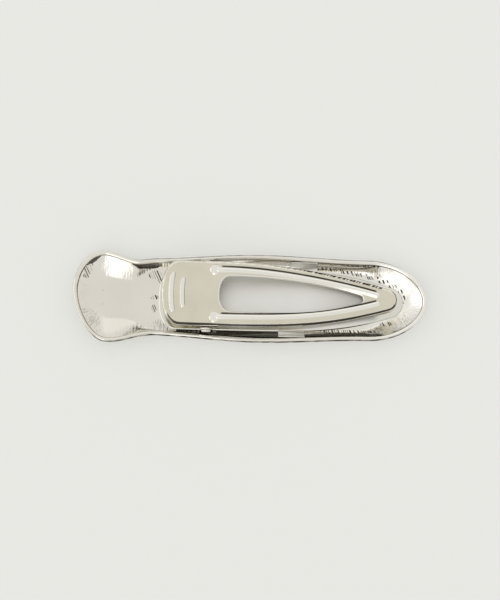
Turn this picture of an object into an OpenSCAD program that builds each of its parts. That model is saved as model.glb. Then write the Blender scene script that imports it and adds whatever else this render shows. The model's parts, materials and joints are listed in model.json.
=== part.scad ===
// Alligator hair clip: a dished metal shell with a sprung two-jaw clip fixed inside it.
// The clip lies on the shell's outer face. +X runs from the flared thumb end to the tip,
// and +Z points out of the dish, towards the lever. Sizes are in millimetres.
// Distances named "at" are measured from the flared end of the shell.

/* [Shell] */
// Length of the shell from the flared end to the tip
shell_length = 110; // [109:1:115]
// Widest part of the flared thumb end
flare_width = 29; // [27:0.1:30]
// Width of the neck between the flare and the body
neck_width = 24.3; // [24:0.1:25]
// Widest part of the body
body_width = 27.8; // [27.4:0.1:28.4]
// Width where the rounded tip begins
tip_width = 25.5; // [25:0.1:26.5]
// Height of the rolled rim above the flat outer floor
shell_height = 4.5; // [4.3:0.1:5]
// Thickness of the shell's sheet
shell_sheet = 0.7; // [0.5:0.05:0.8]
// Width of the rolled rim
rim_width = 1.5; // [1.3:0.1:1.7]
// How far the flared end curves up from the flat floor
flare_lift = 1.5; // [0:0.1:2]
// How far the middle of the flared end leans to the left side
flare_lean = 2.2; // [0:0.1:2.5]

/* [Jaws] */
// Width of the lever's finger pad
pad_width = 20.4; // [20:0.1:20.6]
// Thickness of the jaws' sheet
jaw_sheet = 0.6; // [0.5:0.05:0.7]
// Sideways offset of the lever's plate from the middle of the hinge
plate_offset = 0.4; // [0:0.1:0.4]
// Height of the raised beads and grip ribs
bead_height = 0.45; // [0.2:0.05:0.6]
// Width of the window in the lever
window_width = 11; // [10:0.1:11.2]
// Depth of the lever's turned-down edge
flange_depth = 1.6; // [1.2:0.1:1.8]

/* [Hinge] */
// Distance of the hinge pin from the flared end
hinge_at = 41.6; // [41:0.1:42.5]
// Height of the hinge pin's middle above the flat outer floor
hinge_height = 6; // [5.8:0.1:6.2]
// Diameter of the hinge pin
pin_diameter = 1.6; // [1.4:0.1:1.8]
// Diameter of the hinge pin's two flattened heads
pin_head_diameter = 3.2; // [2.8:0.1:3.4]
// Diameter of the spring's wire
wire_diameter = 0.8; // [0.6:0.05:0.9]
// Number of full turns in the spring's coil
spring_turns = 4; // [3:1:5]

/* [Hidden] */
$fn = 48;

// Positions along the clip, from the flared end
flare_round = 10;
neck_at = 22;
lean_from = 18;
lean_return = 8;
belly_at = 58;
tip_round = 18;
tip_at = shell_length - tip_round;
lift_from = 25;

// Roundness of the shell's two ends: 2 is an ellipse, less is more pointed
flare_power = 1.8;
tip_power = 1.93;

// How far the inner wall runs inwards before it meets the floor
run_flare = 7.5;
run_neck = 0.9;
run_body = 2.5;
run_tip = 5.5;

// Where that run changes, each [start, length]
neck_change = [12, 15];
body_change = [46, 16];
tip_change = [shell_length - 24, 18];

// Jaws
fold_clearance = 0.05;
jaw_floor = shell_sheet + fold_clearance;
jaw_top = jaw_floor + jaw_sheet;
pad_at = 27.8;
pad_round = 6;
taper_at = 45;
lever_power = 2.3;
lever_bend = 2.3;
nose_radius = 3.6;
nose_at = shell_length - 12.8;
arm_height = 9.5;
pad_rise = 1.8;
nose_height = 4;
arm_end = shell_length - 10;
arm_curve = 4.5;
nose_gap = 0.15;
plan_height = 20;

// Hinge
pin_radius = pin_diameter / 2;
lever_clearance = 0.05;
press_clearance = 0.02;
ear_radius = 1.9;
ear_inner = 10;
ear_gap = 0.2;
coil_radius = 2;
leg_length = 11.5;

// Blending and outlines

function mix(a, b, t) = a + (b - a) * t;
function ease(t) = (1 - cos(180 * min(max(t, 0), 1))) / 2;
function mirrored(points) = concat(
    points,
    [for (i = [len(points) - 1:-1:0])
        if (abs(points[i].y) > 0.001) [points[i].x, -points[i].y]]
);

// One quarter of a rounded end: t runs from 0 at the side to 1 at the end's middle
function round_end(length, half, power, t) =
    [length * pow(sin(90 * t), 2 / power), half * pow(cos(90 * t), 2 / power)];

// Outline shared by the jaws and the window: a rounded wide end at "start", parallel sides as far as
// "taper", then sides that curve in to a round nose centred at "nose"
nose_tangent = 18;
function taper_half(u, half, taper, nose, radius, bend) =
    let (join_u = nose + radius * sin(nose_tangent), join_half = radius * cos(nose_tangent))
    mix(half, join_half, pow(max(u - taper, 0) / (join_u - taper), bend));
function leaf(start, round_length, half, taper, nose, radius, power, bend) =
    let (join_u = nose + radius * sin(nose_tangent))
    mirrored(concat(
        [for (i = [0:7]) let (a = mix(90, nose_tangent, i / 8)) [nose + radius * sin(a), radius * cos(a)]],
        [for (i = [0:15]) let (u = mix(join_u, taper, i / 15))
            [u, taper_half(u, half, taper, nose, radius, bend)]],
        [for (i = [0:8]) let (p = round_end(round_length, half, power, i / 8))
            if (i > 0 || start + round_length < taper - 0.01) [start + round_length - p.x, p.y]]
    ));

// Shell: stations round the outline, each [x, half width, side, x of the spine point it faces]

// The middle line of the shell leans to the left at the flared end and back a little before the neck
lean_back = flare_lean / 3;
function middle(u) =
    u < lean_from ? mix(-lean_back, flare_lean, pow(1 - u / lean_from, 2))
    : -lean_back * (1 - ease((u - lean_from) / lean_return));
function side_half(u) =
    u < neck_at ? mix(flare_width, neck_width, ease((u - flare_round) / (neck_at - flare_round))) / 2
    : u < belly_at ? mix(neck_width, body_width, ease((u - neck_at) / (belly_at - neck_at))) / 2
    : mix(body_width, tip_width, ease((u - belly_at) / (tip_at - belly_at))) / 2;

end_steps = 10;
side_steps = 27;
flare_spine = 2.5;
tip_spine = tip_round - tip_width * tip_width / 4 / tip_round;
upper_stations = concat(
    [for (i = [0:end_steps - 1])
        let (t = 1 - i / end_steps, p = round_end(tip_round, tip_width / 2, tip_power, t))
        [tip_at + p.x, i == 0 ? 0 : p.y, 1, tip_at + tip_spine * sin(90 * t)]],
    [for (i = [0:side_steps]) let (u = mix(tip_at, flare_round, i / side_steps)) [u, side_half(u), 1, u]],
    [for (i = [1:end_steps])
        let (t = i / end_steps, p = round_end(flare_round, flare_width / 2, flare_power, t))
        [flare_round - p.x, i == end_steps ? 0 : p.y, 1, flare_round + flare_spine * sin(90 * t)]]
);
half_count = len(upper_stations) - 1;
stations = concat(
    upper_stations,
    [for (i = [half_count - 1:-1:1]) let (s = upper_stations[i]) [s.x, s.y, -1, s[3]]]
);
station_count = len(stations);

function change(u, span) = ease((u - span[0]) / span[1]);
function wall_run(u) =
    u < body_change[0] ? mix(run_flare, run_neck, change(u, neck_change))
    : u < tip_change[0] ? mix(run_neck, run_body, change(u, body_change))
    : mix(run_body, run_tip, change(u, tip_change));
function lift(u) = flare_lift * pow(max(lift_from - u, 0) / lift_from, 2);

// Rings from the outer floor, out and up to the rim, over it, and down to the inner floor.
// Each is [inward distance as a plain part, inward distance as a share of the wall's run, height].
rim_radius = rim_width / 2;
rim_height = shell_height - rim_radius;
outer_height = rim_height - rim_radius;
inner_depth = rim_height - shell_sheet;
wall_steps = 5;
rings = concat(
    [for (i = [0:wall_steps - 1]) let (a = 90 - 90 * i / wall_steps)
        [rim_width - (rim_width - rim_radius) * cos(a), 1 - cos(a), outer_height * (1 - sin(a))]],
    [for (a = [270:-45:0]) [rim_radius + rim_radius * cos(a), 0, rim_height + rim_radius * sin(a)]],
    [for (i = [1:wall_steps]) let (a = 90 * i / wall_steps)
        [rim_width, 1 - cos(a), rim_height - inner_depth * sin(a)]]
);
ring_count = len(rings);

// Points are worked out for a straight shell and then moved sideways with its leaning middle line
function ring_point(s, r) =
    let (edge = [s.x, s.z * s.y], spine = [s[3], 0])
    let (d = r.x + r.y * wall_run(s.x), p = edge + (spine - edge) * d / norm(spine - edge))
    [p.x - shell_length / 2, p.y + middle(p.x), r.z + lift(p.x)];

module shell() {
    points = [for (r = rings) for (s = stations) ring_point(s, r)];
    last = (ring_count - 1) * station_count;
    walls = [for (k = [0:ring_count - 2]) for (i = [0:station_count - 1])
        let (a = k * station_count, b = a + station_count, j = (i + 1) % station_count)
        [a + i, b + i, b + j, a + j]];
    outer_floor = [for (i = [0:half_count - 1])
        let (j = station_count - i)
        i == 0 ? [0, 1, station_count - 1]
        : i == half_count - 1 ? [i, i + 1, j]
        : [i, i + 1, j - 1, j]];
    inner_floor = [for (f = outer_floor) [for (i = [len(f) - 1:-1:0]) last + f[i]]];
    color("silver")
        polyhedron(points, concat(walls, outer_floor, inner_floor), convexity = 6);
}

// Places a shape drawn from the flared end into the clip's own frame
module from_end() {
    translate([-shell_length / 2, 0, 0])
        children();
}

// Draws a side view (distance from the flared end, height) as a solid "width" wide
module side_view(width) {
    rotate([90, 0, 0])
        linear_extrude(width, center = true)
            children();
}

// A hinge ear seen from the side: a round eye on a widening stem that reaches "root_height"
module ear(root_height, root_half, bore_radius, inner, outer) {
    translate([hinge_at, 0, 0])
        rotate([90, 0, 0])
            translate([0, hinge_height, inner])
                linear_extrude(outer - inner)
                    difference() {
                        union() {
                            circle(ear_radius);
                            polygon([
                                [-ear_radius, 0],
                                [-root_half, root_height - hinge_height],
                                [root_half, root_height - hinge_height],
                                [ear_radius, 0]
                            ]);
                        }
                        circle(bore_radius);
                    }
}

// Lower jaw: a flat plate on the shell's floor with two hinge ears and two side tabs

lower_half = 10;
lower_start = 26.4;
lower_round = 6.5;
lower_taper_at = 56;
lower_nose_at = shell_length - 12;
lower_nose_radius = 4.8;
lower_power = 2.4;
lower_bend = 2.8;
ear_root = 2.4;
tab_length = 8.2;
left_tab_at = 71.8;
right_tab_at = 68;

// A tab that follows the shell's wall from the plate's edge up to just under the rim
module side_tab(at) {
    foot = 8.7;
    reach = 11.6;
    knee_height = 2.2;
    top = rim_height + 0.2;
    translate([at + tab_length / 2, 0, 0])
        rotate([90, 0, -90])
            linear_extrude(tab_length)
                polygon([
                    [-foot, jaw_floor],
                    [-foot - 0.9, jaw_floor],
                    [-reach + 0.5, knee_height],
                    [-reach, top - 0.3],
                    [-reach + 0.4, top],
                    [-reach + 1, knee_height + 0.3],
                    [-foot - 0.6, jaw_top],
                    [-foot, jaw_top]
                ]);
}

module lower_outline() {
    polygon(leaf(
        lower_start, lower_round, lower_half, lower_taper_at,
        lower_nose_at, lower_nose_radius, lower_power, lower_bend
    ));
}

module lower_jaw() {
    color("gainsboro")
        from_end() {
            translate([0, 0, jaw_floor])
                linear_extrude(jaw_sheet)
                    union() {
                        lower_outline();
                        translate([hinge_at, 0])
                            square([2 * ear_root, 2 * (ear_inner + jaw_sheet)], center = true);
                    }
            for (side = [1, -1])
                scale([1, side, 1])
                    ear(
                        jaw_floor,
                        ear_root,
                        pin_radius + press_clearance,
                        -ear_inner - jaw_sheet,
                        -ear_inner
                    );
            side_tab(left_tab_at);
            mirror([0, 1, 0])
                side_tab(right_tab_at);
        }
}

// Lever: the upper jaw, a stamped plate with a turned-down edge, a window, beads, ribs and two ears

lever_ear_root = 4;

// Height of the top face: the arms curve down from the hinge to the nose
function lever_top(u) =
    u < taper_at ? arm_height + pad_rise * pow((taper_at - u) / (taper_at - pad_at), 2)
    : nose_height + (arm_height - nose_height)
        * pow(1 - pow(min((u - taper_at) / (arm_end - taper_at), 1), 2), arm_curve);

// The sheet's side view from "up" above the top face to "down" below it
module lever_sheet(up, down) {
    past_nose = nose_at + nose_radius + 1;
    along = concat(
        [for (i = [0:5]) mix(pad_at - 1, taper_at, i / 6)],
        [for (i = [0:20]) mix(taper_at, past_nose, i / 20)]
    );
    side_view(pad_width + 4)
        polygon(concat(
            [for (u = along) [u, lever_top(u) + up]],
            [for (i = [len(along) - 1:-1:0]) [along[i], lever_top(along[i]) - down]]
        ));
}

// Extrudes a plan view through the whole height
module plan() {
    translate([0, plate_offset, 0])
        linear_extrude(plan_height)
            children();
}

// The lever's plan, drawn in by "inset" all round
module lever_outline(inset) {
    polygon(leaf(
        pad_at + inset, pad_round, pad_width / 2 - inset, taper_at,
        nose_at, nose_radius - inset, lever_power, lever_bend
    ));
}

// The window between the arms, rounded under the pad and narrow before the nose
window_at = 45.6;
window_round = 3.8;
window_taper_at = 49.7;
window_nose_at = nose_at - 8.3;
window_nose_radius = 1.2;
window_power = 2.3;
window_bend = 2.8;
module window() {
    polygon(leaf(
        window_at, window_round, window_width / 2, window_taper_at,
        window_nose_at, window_nose_radius, window_power, window_bend
    ));
}

// Points along an arc
function arc(x, y, radius, from, to, steps) =
    [for (i = [0:steps]) let (a = mix(from, to, i / steps)) [x + radius * cos(a), y + radius * sin(a)]];

// A bead along one arm, with a round dimple at its start
bead_width = 2.1;
bead_end = nose_at - 2.7;
bead_first = window_width / 2 + 2.9;
bead_last = 2.45;
bead_bend = 2.3;
dimple_radius = 1.75;
function bead_outer(u) = mix(bead_first, bead_last, pow((u - taper_at) / (bead_end - taper_at), bead_bend));
module bead() {
    stops = [for (i = [0:14]) mix(taper_at, bead_end, i / 14)];
    polygon(concat(
        [for (u = stops) [u, bead_outer(u)]],
        arc(bead_end, bead_last - bead_width / 2, bead_width / 2, 67.5, -67.5, 6),
        [for (i = [14:-1:0]) [stops[i], bead_outer(stops[i]) - bead_width]]
    ));
    translate([taper_at - 1, bead_outer(taper_at) - bead_width / 2 + 0.1])
        circle(dimple_radius);
}

// A curved grip rib across the pad, bulging towards the flared end, with round ends
module grip_rib(at, half, width) {
    radius = 34;
    angle = asin(half / radius);
    end_x = -radius * cos(angle);
    skipped = 22;
    translate([at + radius, 0])
        polygon(concat(
            arc(0, 0, radius + width / 2, 180 - angle, 180 + angle, 12),
            arc(end_x, -half, width / 2, 180 + skipped + angle, 360 - skipped + angle, 4),
            arc(0, 0, radius - width / 2, 180 + angle, 180 - angle, 12),
            arc(end_x, half, width / 2, skipped - angle, 180 - skipped - angle, 4)
        ));
}

module jaw_lever() {
    color("lightgray")
        from_end() {
            difference() {
                intersection() {
                    lever_sheet(0, jaw_sheet);
                    plan()
                        lever_outline(0);
                }
                plan()
                    window();
            }
            intersection() {
                lever_sheet(0, flange_depth);
                plan()
                    difference() {
                        lever_outline(0);
                        lever_outline(jaw_sheet);
                    }
            }
            intersection() {
                lever_sheet(bead_height, jaw_sheet / 2);
                plan()
                    union() {
                        bead();
                        mirror([0, 1])
                            bead();
                        grip_rib(pad_at + 3, 5.5, 1.7);
                        grip_rib(pad_at + 6.3, 3.9, 1.8);
                    }
            }
            nose_lip();
            for (side = [1, -1])
                scale([1, side, 1])
                    ear(
                        arm_height - 0.1,
                        lever_ear_root,
                        pin_radius + lever_clearance,
                        -ear_inner + ear_gap,
                        -ear_inner + ear_gap + jaw_sheet
                    );
        }
}

// The nose's edge, folded down until it meets the lower jaw
module nose_lip() {
    lip_bottom = jaw_top + nose_gap;
    translate([0, plate_offset, lip_bottom])
        linear_extrude(lever_top(nose_at) - jaw_sheet / 2 - lip_bottom)
            intersection() {
                difference() {
                    lever_outline(0);
                    lever_outline(jaw_sheet);
                }
                translate([nose_at + 1, -nose_radius])
                    square([nose_radius, 2 * nose_radius]);
            }
}

// Hinge pin: a shaft with a flattened head outside each of the lower jaw's ears

module hinge_pin() {
    head_start = ear_inner + jaw_sheet + fold_clearance;
    head_thickness = 0.6;
    color("darkgray")
        from_end()
            translate([hinge_at, 0, hinge_height])
                rotate([90, 0, 0]) {
                    cylinder(r = pin_radius, h = 2 * head_start, center = true);
                    for (side = [1, -1])
                        translate([0, 0, side * (head_start + head_thickness / 2)])
                            cylinder(d = pin_head_diameter, h = head_thickness, center = true);
                }
}

// Torsion spring: one wire with a leg on the lower jaw, a coil round the pin and a leg under the pad

lower_leg_slope = 10.5;
upper_leg_slope = 8;
coil_pitch = wire_diameter + 0.1;
start_angle = -90 + lower_leg_slope;
end_angle = 90 - upper_leg_slope + 360 * spring_turns;
coil_steps = 18 * spring_turns;
coil_width = coil_pitch * (end_angle - start_angle) / 360;
function coil_point(a) =
    [coil_radius * cos(a), coil_pitch * (a - start_angle) / 360 - coil_width / 2, coil_radius * sin(a)];
coil_path = [for (i = [0:coil_steps]) coil_point(mix(start_angle, end_angle, i / coil_steps))];
spring_path = concat(
    [coil_path[0] - leg_length * [cos(lower_leg_slope), 0, sin(lower_leg_slope)]],
    coil_path,
    [coil_path[coil_steps] + leg_length * [-cos(upper_leg_slope), 0, sin(upper_leg_slope)]]
);

// Unit direction of a path at one of its points
function heading(path, i) =
    let (d = path[min(i + 1, len(path) - 1)] - path[max(i - 1, 0)])
    d / norm(d);

module torsion_spring() {
    sides = 8;
    count = len(spring_path);
    wire_radius = wire_diameter / 2;
    points = [for (i = [0:count - 1])
        let (t = heading(spring_path, i), across = cross(t, [0, 1, 0]))
        let (u = across / norm(across), v = cross(t, u))
        for (k = [0:sides - 1])
            spring_path[i] + wire_radius * (u * cos(360 * k / sides) + v * sin(360 * k / sides))];
    walls = [for (i = [0:count - 2]) for (k = [0:sides - 1])
        let (a = i * sides, b = a + sides, j = (k + 1) % sides)
        [a + k, b + k, b + j, a + j]];
    first_end = [for (k = [0:sides - 1]) k];
    last_end = [for (k = [sides - 1:-1:0]) (count - 1) * sides + k];
    color("slategray")
        from_end()
            translate([hinge_at, 0, hinge_height])
                polyhedron(points, concat(walls, [first_end, last_end]), convexity = 10);
}

shell();
lower_jaw();
jaw_lever();
hinge_pin();
torsion_spring();
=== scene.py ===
"""Alligator hair clip: the looks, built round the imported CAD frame.

Lengths are worked in millimetres and turned into metres when a mesh is made. "At" and u are distances
along the clip from the flared end of the shell; y is measured across it and z upwards.
"""

import json
import math

import bmesh
import bpy
import numpy as np
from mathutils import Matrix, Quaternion, Vector, noise


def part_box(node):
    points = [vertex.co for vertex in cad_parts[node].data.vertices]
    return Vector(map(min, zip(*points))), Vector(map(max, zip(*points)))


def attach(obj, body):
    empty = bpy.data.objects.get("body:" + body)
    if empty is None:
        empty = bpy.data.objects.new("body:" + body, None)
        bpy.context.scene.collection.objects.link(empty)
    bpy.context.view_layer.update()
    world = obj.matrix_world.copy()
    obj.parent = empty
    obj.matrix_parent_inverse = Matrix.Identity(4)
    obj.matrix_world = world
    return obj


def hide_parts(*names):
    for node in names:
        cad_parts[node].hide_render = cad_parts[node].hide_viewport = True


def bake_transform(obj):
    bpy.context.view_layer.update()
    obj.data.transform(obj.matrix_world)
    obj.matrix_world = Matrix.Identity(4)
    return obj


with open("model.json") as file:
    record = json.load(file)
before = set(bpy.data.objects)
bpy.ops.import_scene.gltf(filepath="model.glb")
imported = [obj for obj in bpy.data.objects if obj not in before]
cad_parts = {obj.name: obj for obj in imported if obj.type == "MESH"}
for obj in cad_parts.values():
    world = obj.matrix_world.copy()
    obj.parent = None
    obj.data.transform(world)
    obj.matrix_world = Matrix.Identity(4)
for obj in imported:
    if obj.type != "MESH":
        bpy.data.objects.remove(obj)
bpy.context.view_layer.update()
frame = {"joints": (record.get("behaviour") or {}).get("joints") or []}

MM = 0.001


def cad_box(node):
    """A CAD node's lowest and highest corner, in millimetres."""
    low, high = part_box(node)
    return np.array(low) / MM, np.array(high) / MM


# ---------------------------------------------------------------- sizes

shell_low, shell_high = cad_box("shell")
lever_low, lever_high = cad_box("jaw_lever")
lower_low, lower_high = cad_box("lower_jaw")
pin_low, pin_high = cad_box("hinge_pin")
hinge = next(j for j in frame["joints"] if j["name"] == "lever_hinge")
HINGE_X, _, HINGE_Z = (c / MM for c in hinge["pos_m"])

LENGTH = shell_high[0] - shell_low[0]
START_X = shell_low[0]

# Shell. Its ends are rounded with powers: 2 is an ellipse, less is more pointed.
FLARE_WIDTH = 28.77
FLARE_SPINE = 2.5
FLARE_POWER = 1.8
NECK_WIDTH = 24.3
BODY_WIDTH = 27.8
TIP_WIDTH = 25.5
TIP_POWER = 1.93
SHELL_HEIGHT = 4.5
SHELL_SHEET = 0.7
RIM_WIDTH = 1.5
RIM_RADIUS = RIM_WIDTH / 2
RIM_HEIGHT = SHELL_HEIGHT - RIM_RADIUS
FLARE_LIFT = 1.5
FLARE_LEAN = 2.2
FLARE_ROUND = 10.0
NECK_AT = 22.0
LEAN_FROM = 18.0
LEAN_RETURN = 8.0
BELLY_AT = 58.0
TIP_ROUND = 18.0
TIP_AT = LENGTH - TIP_ROUND
LIFT_FROM = 25.0

# How far the shell's inner wall runs inwards before it meets the floor, and where that changes:
# start and length of each change
RUN_FLARE = 7.5
RUN_NECK = 0.9
RUN_BODY = 2.5
RUN_TIP = 5.5
NECK_CHANGE = (12, 15)
BODY_CHANGE = (46, 16)
TIP_CHANGE = (86, 18)

# Jaws
JAW_SHEET = 0.6
JAW_FLOOR = 0.75
JAW_TOP = JAW_FLOOR + JAW_SHEET
PAD_AT = lever_low[0] - START_X
PAD_HALF = (lever_high[1] - lever_low[1]) / 2
PLATE_Y = (lever_high[1] + lever_low[1]) / 2
TAPER_AT = 45.0
NOSE_TANGENT = math.radians(18)
NOSE_RADIUS = 3.6
NOSE_AT = lever_high[0] - START_X - NOSE_RADIUS
ARM_HEIGHT = 9.5
ARM_END = LENGTH - 10
ARM_CURVE = 4.5
PAD_RISE = 1.8
NOSE_HEIGHT = 4.0
FLANGE_DEPTH = 1.6
LEFT_TAB_AT = 71.8
RIGHT_TAB_AT = 68.0

# Beads along the lever's arms, the dimples where they start, and the pad's grip ribs. Each rib has its
# distance from the flared end, half its length, and its width.
BEAD_END = NOSE_AT - 2.7
BEAD_WIDTH = 2.1
BEAD_HEIGHT = 0.45
BEAD_FIRST = 7.35
BEAD_LAST = 1.4
BEAD_BEND = 2.3
DIMPLE_AT = TAPER_AT - 0.8
DIMPLE_ACROSS = 7.45
DIMPLE_RADIUS = 1.85
DIMPLE_HEIGHT = 0.3
GRIP_RIBS = ((PAD_AT + 3, 5.5, 1.8), (PAD_AT + 6.3, 3.9, 1.9))
RIB_HEIGHT = 0.42
RIB_CURVE_RADIUS = 34

# Hinge
EAR_RADIUS = 1.9
EAR_HALF_SHEET = 0.3
EAR_EDGE_RADIUS = 0.12
LEVER_EAR_Y = 9.5
LEVER_EAR_ROOT = 4
LOWER_EAR_Y = 10.3
LOWER_EAR_ROOT = 2.4
PIN_RADIUS = 0.8
PIN_HEAD_THICKNESS = 0.6
PIN_HEAD_DOME = 0.42
COIL_TURNS = 4
COIL_RADIUS = 2.0
COIL_PITCH = 0.9
WIRE_RADIUS = 0.4
LEG_LENGTH = 10.9
LOW_LEG_SLOPE = math.radians(10.5)
HIGH_LEG_SLOPE = math.radians(8)


def mix(a, b, t):
    return a + (b - a) * t


def ease(t):
    return (1 - np.cos(np.pi * np.clip(t, 0, 1))) / 2


def smooth(t):
    t = np.clip(t, 0, 1)
    return t * t * (3 - 2 * t)


# ---------------------------------------------------------------- mesh tools


def make_object(name, points, faces, attributes=None):
    """A smooth-shaded mesh from points in millimetres, with float values stored on its vertices."""
    mesh = bpy.data.meshes.new(name)
    mesh.from_pydata((np.asarray(points) * MM).tolist(), [], faces)
    mesh.validate()
    mesh.polygons.foreach_set("use_smooth", [True] * len(mesh.polygons))
    for key, values in (attributes or {}).items():
        layer = mesh.attributes.new(key, "FLOAT", "POINT")
        layer.data.foreach_set("value", np.asarray(values, np.float32))
    mesh.update()
    piece = bpy.data.objects.new(name, mesh)
    bpy.context.scene.collection.objects.link(piece)
    return piece


def loft_faces(rows, count, closed=False):
    """Quads between rings of "count" points. If "closed", the last ring is joined to the first."""
    faces = []
    last = rows if closed else rows - 1
    for k in range(last):
        a = k * count
        b = (k + 1) % rows * count
        for i in range(count):
            j = (i + 1) % count
            faces.append((a + i, a + j, b + j, b + i))
    return faces


def weld(piece, distance=1e-7):
    """Joins points that lie on each other, such as where rings close onto a middle line."""
    work = bmesh.new()
    work.from_mesh(piece.data)
    bmesh.ops.remove_doubles(work, verts=work.verts, dist=distance)
    bmesh.ops.dissolve_degenerate(work, edges=work.edges, dist=distance)
    bmesh.ops.recalc_face_normals(work, faces=work.faces)
    work.to_mesh(piece.data)
    work.free()
    piece.data.polygons.foreach_set("use_smooth", [True] * len(piece.data.polygons))
    return piece


def join(name, parts):
    """Puts several objects' meshes into one named object."""
    work = bmesh.new()
    for part in parts:
        work.from_mesh(part.data)
    mesh = bpy.data.meshes.new(name)
    work.to_mesh(mesh)
    work.free()
    for part in parts:
        bpy.data.objects.remove(part)
    piece = bpy.data.objects.new(name, mesh)
    bpy.context.scene.collection.objects.link(piece)
    return piece


def inward_normals(outline):
    """Unit normals that point into a closed counter-clockwise outline."""
    tangent = np.roll(outline, -1, 0) - np.roll(outline, 1, 0)
    tangent /= np.linalg.norm(tangent, axis=1)[:, None]
    return np.stack([-tangent[:, 1], tangent[:, 0]], 1)


def arc_lengths(outline):
    """Distance of each point from the first, measured along the outline."""
    steps = np.linalg.norm(np.roll(outline, -1, 0) - outline, axis=1)
    return np.concatenate([[0], np.cumsum(steps)[:-1]])


def mirror_half(half):
    """The whole outline from its left half, which starts and ends on the middle line."""
    other = half[::-1][1:-1] * [1, -1]
    return np.concatenate([half, other])


def wobble(points, size, seed):
    """Smooth noise at each point, about -1 to 1, with features "size" millimetres across."""
    shift = Vector((seed * 17.3, seed * 5.1, seed * 9.7))
    return np.array([noise.noise(Vector(p) / size + shift) for p in points])


# ---------------------------------------------------------------- shell


def round_end(length, half, power, t):
    """A quarter of a rounded end: t runs from 0 at the side to 1 at the end's middle."""
    angle = np.pi / 2 * t
    return length * np.sin(angle) ** (2 / power), half * np.cos(angle) ** (2 / power)


def side_half(u):
    flare = mix(FLARE_WIDTH, NECK_WIDTH, ease((u - FLARE_ROUND) / (NECK_AT - FLARE_ROUND)))
    neck = mix(NECK_WIDTH, BODY_WIDTH, ease((u - NECK_AT) / (BELLY_AT - NECK_AT)))
    body = mix(BODY_WIDTH, TIP_WIDTH, ease((u - BELLY_AT) / (TIP_AT - BELLY_AT)))
    return np.where(u < NECK_AT, flare, np.where(u < BELLY_AT, neck, body)) / 2


def middle(u):
    """Sideways place of the shell's middle line, which leans at the flared end."""
    back = FLARE_LEAN / 3
    lean = mix(-back, FLARE_LEAN, (1 - np.minimum(u, LEAN_FROM) / LEAN_FROM) ** 2)
    return np.where(u < LEAN_FROM, lean, -back * (1 - ease((u - LEAN_FROM) / LEAN_RETURN)))


def wall_run(u):
    """How far the inner wall runs inwards before it meets the floor."""

    def changed(before, after, change):
        start, length = change
        return mix(before, after, ease((u - start) / length))

    neck = changed(RUN_FLARE, RUN_NECK, NECK_CHANGE)
    body = changed(RUN_NECK, RUN_BODY, BODY_CHANGE)
    tip = changed(RUN_BODY, RUN_TIP, TIP_CHANGE)
    return np.where(u < BODY_CHANGE[0], neck, np.where(u < TIP_CHANGE[0], body, tip))


def lift(u):
    """How far the flared end curves up from the flat floor."""
    return FLARE_LIFT * (np.maximum(LIFT_FROM - u, 0) / LIFT_FROM) ** 2


def shell_stations(end_steps, side_steps):
    """Edge and spine points round a straight shell's outline, counter-clockwise from the tip."""
    t = np.linspace(1, 0, end_steps, endpoint=False)
    px, py = round_end(TIP_ROUND, TIP_WIDTH / 2, TIP_POWER, t)
    py[0] = 0
    tip_spine = TIP_ROUND - TIP_WIDTH**2 / 4 / TIP_ROUND
    tip = np.stack([TIP_AT + px, py, TIP_AT + tip_spine * np.sin(np.pi / 2 * t)], 1)
    u = np.linspace(TIP_AT, FLARE_ROUND, side_steps + 1)
    side = np.stack([u, side_half(u), u], 1)
    t = np.linspace(0, 1, end_steps + 1)[1:]
    px, py = round_end(FLARE_ROUND, FLARE_WIDTH / 2, FLARE_POWER, t)
    py[-1] = 0
    flare = np.stack([FLARE_ROUND - px, py, FLARE_ROUND + FLARE_SPINE * np.sin(np.pi / 2 * t)], 1)
    left = np.concatenate([tip, side, flare])
    right = left[::-1][1:-1] * [1, -1, 1]
    stations = np.concatenate([left, right])
    return stations[:, :2], stations[:, 2:] * [1, 0]


def rim_outer_line(edge):
    """Strength of the painted shade line on the rolled rim's outer side, which fades round the ends."""
    u, y = edge[:, 0], edge[:, 1]
    sideways = np.abs(inward_normals(edge)[:, 1])
    left = 0.75 * smooth((u - 17) / 6) * smooth((104 - u) / 8)
    return smooth((sideways - 0.72) / 0.2) * np.where(y > 0, left, 1)


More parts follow.
